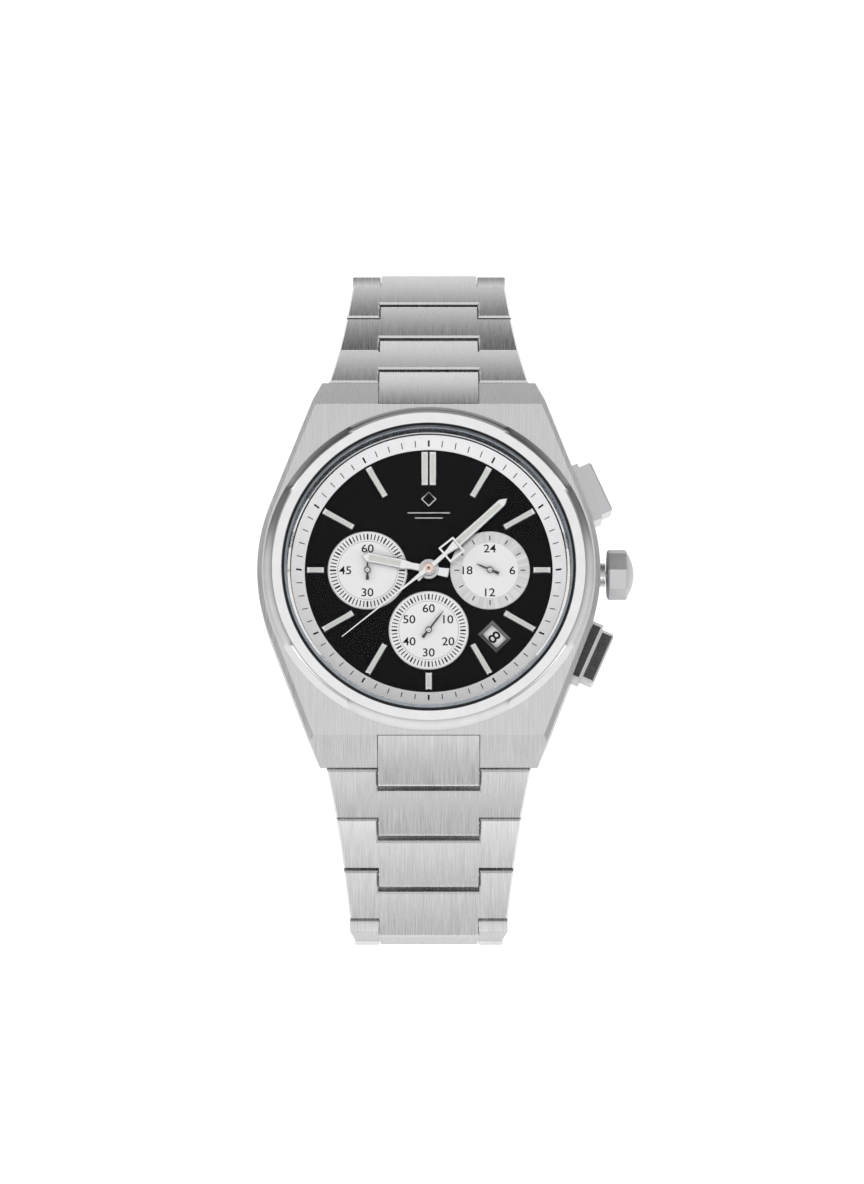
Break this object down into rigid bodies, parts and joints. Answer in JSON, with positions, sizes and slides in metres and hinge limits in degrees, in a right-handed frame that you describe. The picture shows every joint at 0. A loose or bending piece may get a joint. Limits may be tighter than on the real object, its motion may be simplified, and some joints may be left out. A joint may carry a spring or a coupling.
{
  "type": "chronograph wristwatch",
  "caption": "Steel chronograph wristwatch with a flat octagonal case, silver counters on a black dial, crown and two pushers, and a closed link bracelet with a folding clasp.",
  "frame": {"origin": "point on the clasp cover's flat underside directly below the dial centre, with the bracelet closed and the watch standing on its clasp", "axes": "+Z out of the dial, +Y towards 12 o'clock, +X towards the crown"},
  "size_m": [0.0462, 0.0864, 0.0482],
  "materials": {
    "brushed_steel": "brushed along the bracelet",
    "polished_steel": "polished",
    "machined_steel": "turned",
    "spring_steel": "drawn wire",
    "gasket_rubber": "matte",
    "mineral_glass": "clear",
    "dial_black": "satin lacquer",
    "counter_silver": "silvered",
    "chapter_silver": "silvered",
    "marker_steel": "polished with a pale fill",
    "date_white": "matte",
    "movement_brass": "plated",
    "board_green": "solder mask",
    "battery_can": "plain",
    "copper_winding": "enamelled wire",
    "hand_steel": "polished with a pale fill",
    "hand_black": "gloss"
  },
  "bodies": {
    "head": {"case_middle": "brushed_steel", "bezel": "polished_steel", "crystal": "mineral_glass", "crystal_gasket": "gasket_rubber", "caseback": "polished_steel", "caseback_gasket": "gasket_rubber", "caseback_screws": "machined_steel", "crown_tube": "machined_steel", "pusher_guides": "machined_steel", "pusher_upper_spring": "spring_steel", "pusher_lower_spring": "spring_steel", "dial": "dial_black", "counter_rings": "counter_silver", "hour_markers": "marker_steel", "chapter_ring": "chapter_silver", "main_plate": "movement_brass", "circuit_board": "board_green", "battery": "battery_can", "motor_coils": "copper_winding", "case_spring_bars": "machined_steel", "end_link_12": "brushed_steel", "end_link_6": "brushed_steel"},
    "bracelet_12_1": {"link_12_1": "brushed_steel"},
    "bracelet_12_2": {"link_12_2": "brushed_steel"},
    "bracelet_12_3": {"link_12_3": "brushed_steel"},
    "bracelet_12_4": {"link_12_4": "brushed_steel"},
    "bracelet_12_5": {"link_12_5": "brushed_steel"},
    "bracelet_12_6": {"link_12_6": "brushed_steel"},
    "bracelet_12_7": {"link_12_7": "brushed_steel"},
    "bracelet_12_8": {"link_12_8": "brushed_steel"},
    "bracelet_6_1": {"link_6_1": "brushed_steel"},
    "bracelet_6_2": {"link_6_2": "brushed_steel"},
    "bracelet_6_3": {"link_6_3": "brushed_steel"},
    "bracelet_6_4": {"link_6_4": "brushed_steel"},
    "bracelet_6_5": {"link_6_5": "brushed_steel"},
    "bracelet_6_6": {"link_6_6": "brushed_steel"},
    "bracelet_6_7": {"link_6_7": "brushed_steel"},
    "bracelet_6_8": {"link_6_8": "brushed_steel", "clasp_spring_bar": "machined_steel"},
    "inner_blade": {"clasp_inner_blade": "brushed_steel"},
    "mid_blade": {"clasp_mid_blade": "machined_steel", "clasp_hinge_pins": "machined_steel"},
    "cover": {"clasp_cover": "brushed_steel"},
    "button_left": {"clasp_button_left": "polished_steel"},
    "button_right": {"clasp_button_right": "polished_steel"},
    "minute": {"minute_hand": "hand_steel", "cannon_pinion": "movement_brass"},
    "hour": {"hour_hand": "hand_steel", "hour_wheel": "movement_brass"},
    "minute_reduction": {"minute_wheel": "movement_brass"},
    "chronograph": {"chronograph_hand": "hand_steel"},
    "minute_counter": {"minute_counter_hand": "hand_black"},
    "small_seconds": {"small_seconds_hand": "hand_black"},
    "twenty_four_hour": {"twenty_four_hour_hand": "hand_black"},
    "date": {"date_ring": "date_white"},
    "keyless": {"clutch_wheel": "machined_steel"},
    "crown_unit": {"crown": "polished_steel", "crown_stem": "machined_steel"},
    "push_upper": {"pusher_upper": "polished_steel"},
    "push_lower": {"pusher_lower": "polished_steel"}
  },
  "joints": [
    {"name": "bracelet_12_pivot_1", "type": "hinge", "parent": "head", "child": "bracelet_12_1", "pos_m": [0, 0.0244, 0.04104], "axis": [1, 0, 0], "range_deg": [0, 5.6]},
    {"name": "bracelet_12_pivot_2", "type": "hinge", "parent": "bracelet_12_1", "child": "bracelet_12_2", "pos_m": [0, 0.02982, 0.03616], "axis": [1, 0, 0], "range_deg": [0, 2]},
    {"name": "bracelet_12_pivot_3", "type": "hinge", "parent": "bracelet_12_2", "child": "bracelet_12_3", "pos_m": [0, 0.03557, 0.03166], "axis": [1, 0, 0], "range_deg": [0, 8]},
    {"name": "bracelet_12_pivot_4", "type": "hinge", "parent": "bracelet_12_3", "child": "bracelet_12_4", "pos_m": [0, 0.04117, 0.02697], "axis": [1, 0, 0], "range_deg": [0, 54]},
    {"name": "bracelet_12_pivot_5", "type": "hinge", "parent": "bracelet_12_4", "child": "bracelet_12_5", "pos_m": [0, 0.04142, 0.01968], "axis": [1, 0, 0], "range_deg": [0, 30]},
    {"name": "bracelet_12_pivot_6", "type": "hinge", "parent": "bracelet_12_5", "child": "bracelet_12_6", "pos_m": [0, 0.03869, 0.01291], "axis": [1, 0, 0], "range_deg": [0, 24]},
    {"name": "bracelet_12_pivot_7", "type": "hinge", "parent": "bracelet_12_6", "child": "bracelet_12_7", "pos_m": [0, 0.03399, 0.00732], "axis": [1, 0, 0], "range_deg": [0, 26]},
    {"name": "bracelet_12_pivot_8", "type": "hinge", "parent": "bracelet_12_7", "child": "bracelet_12_8", "pos_m": [0, 0.02767, 0.00367], "axis": [1, 0, 0], "range_deg": [0, 22]},
    {"name": "bracelet_6_pivot_1", "type": "hinge", "parent": "head", "child": "bracelet_6_1", "pos_m": [0, -0.0244, 0.04104], "axis": [-1, 0, 0], "range_deg": [0, 5.6]},
    {"name": "bracelet_6_pivot_2", "type": "hinge", "parent": "bracelet_6_1", "child": "bracelet_6_2", "pos_m": [0, -0.02982, 0.03616], "axis": [-1, 0, 0], "range_deg": [0, 2]},
    {"name": "bracelet_6_pivot_3", "type": "hinge", "parent": "bracelet_6_2", "child": "bracelet_6_3", "pos_m": [0, -0.03557, 0.03166], "axis": [-1, 0, 0], "range_deg": [0, 8]},
    {"name": "bracelet_6_pivot_4", "type": "hinge", "parent": "bracelet_6_3", "child": "bracelet_6_4", "pos_m": [0, -0.04117, 0.02697], "axis": [-1, 0, 0], "range_deg": [0, 54]},
    {"name": "bracelet_6_pivot_5", "type": "hinge", "parent": "bracelet_6_4", "child": "bracelet_6_5", "pos_m": [0, -0.04142, 0.01968], "axis": [-1, 0, 0], "range_deg": [0, 30]},
    {"name": "bracelet_6_pivot_6", "type": "hinge", "parent": "bracelet_6_5", "child": "bracelet_6_6", "pos_m": [0, -0.03869, 0.01291], "axis": [-1, 0, 0], "range_deg": [0, 24]},
    {"name": "bracelet_6_pivot_7", "type": "hinge", "parent": "bracelet_6_6", "child": "bracelet_6_7", "pos_m": [0, -0.03399, 0.00732], "axis": [-1, 0, 0], "range_deg": [0, 26]},
    {"name": "bracelet_6_pivot_8", "type": "hinge", "parent": "bracelet_6_7", "child": "bracelet_6_8", "pos_m": [0, -0.02767, 0.00367], "axis": [-1, 0, 0], "range_deg": [0, 22]},
    {"name": "clasp_to_bracelet_pivot", "type": "hinge", "parent": "bracelet_12_8", "child": "inner_blade", "pos_m": [0, 0.02059, 0.0019], "axis": [1, 0, 0], "range_deg": [0, 20]},
    {"name": "clasp_blade_hinge", "type": "hinge", "parent": "inner_blade", "child": "mid_blade", "pos_m": [0, -0.013, 0.0029], "axis": [-1, 0, 0], "range_deg": [0, 100]},
    {"name": "clasp_cover_hinge", "type": "hinge", "parent": "mid_blade", "child": "cover", "pos_m": [0, 0.0154, 0.0022], "axis": [1, 0, 0], "range_deg": [0, 100]},
    {"name": "clasp_button_left_press", "type": "slide", "parent": "cover", "child": "button_left", "axis": [1, 0, 0], "range_m": [0, 0.0005], "stiffness_N_per_m": 800, "springref_m": -0.0005},
    {"name": "clasp_button_right_press", "type": "slide", "parent": "cover", "child": "button_right", "axis": [-1, 0, 0], "range_m": [0, 0.0005], "stiffness_N_per_m": 800, "springref_m": -0.0005},
    {"name": "minute_hand_spin", "type": "hinge", "parent": "head", "child": "minute", "pos_m": [0, 0, 0.045], "axis": [0, 0, -1], "continuous": true},
    {"name": "hour_hand_spin", "type": "hinge", "parent": "head", "child": "hour", "pos_m": [0, 0, 0.045], "axis": [0, 0, -1], "continuous": true},
    {"name": "minute_wheel_spin", "type": "hinge", "parent": "head", "child": "minute_reduction", "pos_m": [0.0015, 0.0026, 0.045], "axis": [0, 0, -1], "continuous": true},
    {"name": "chronograph_hand_spin", "type": "hinge", "parent": "head", "child": "chronograph", "pos_m": [0, 0, 0.045], "axis": [0, 0, -1], "continuous": true},
    {"name": "minute_counter_spin", "type": "hinge", "parent": "head", "child": "minute_counter", "pos_m": [-0.0075, 0, 0.045], "axis": [0, 0, -1], "continuous": true},
    {"name": "small_seconds_spin", "type": "hinge", "parent": "head", "child": "small_seconds", "pos_m": [0, -0.0075, 0.045], "axis": [0, 0, -1], "continuous": true},
    {"name": "twenty_four_hour_spin", "type": "hinge", "parent": "head", "child": "twenty_four_hour", "pos_m": [0.0075, 0, 0.045], "axis": [0, 0, -1], "continuous": true},
    {"name": "date_ring_spin", "type": "hinge", "parent": "head", "child": "date", "pos_m": [0, 0, 0.045], "axis": [0, 0, -1], "continuous": true},
    {"name": "crown_turn", "type": "hinge", "parent": "head", "child": "keyless", "pos_m": [0.0134, 0, 0.04226], "axis": [1, 0, 0], "continuous": true},
    {"name": "crown_pull", "type": "slide", "parent": "keyless", "child": "crown_unit", "axis": [1, 0, 0], "range_m": [0, 0.0012]},
    {"name": "pusher_upper_press", "type": "slide", "parent": "head", "child": "push_upper", "axis": [-0.9135, -0.4067, 0], "range_m": [0, 0.0008], "stiffness_N_per_m": 800, "springref_m": -0.0008, "deforming": ["pusher_upper_spring"]},
    {"name": "pusher_lower_press", "type": "slide", "parent": "head", "child": "push_lower", "axis": [-0.9135, 0.4067, 0], "range_m": [0, 0.0008], "stiffness_N_per_m": 800, "springref_m": -0.0008, "deforming": ["pusher_lower_spring"]}
  ],
  "couplings": [
    {"joint": "hour_hand_spin", "follows": "minute_hand_spin", "ratio": 0.083333},
    {"joint": "minute_wheel_spin", "follows": "minute_hand_spin", "ratio": -0.33333},
    {"joint": "twenty_four_hour_spin", "follows": "minute_hand_spin", "ratio": 0.041667},
    {"joint": "small_seconds_spin", "follows": "minute_hand_spin", "ratio": 60},
    {"joint": "minute_counter_spin", "follows": "chronograph_hand_spin", "ratio": 0.016667},
    {"joint": "clasp_cover_hinge", "follows": "clasp_blade_hinge", "ratio": 1}
  ]
}
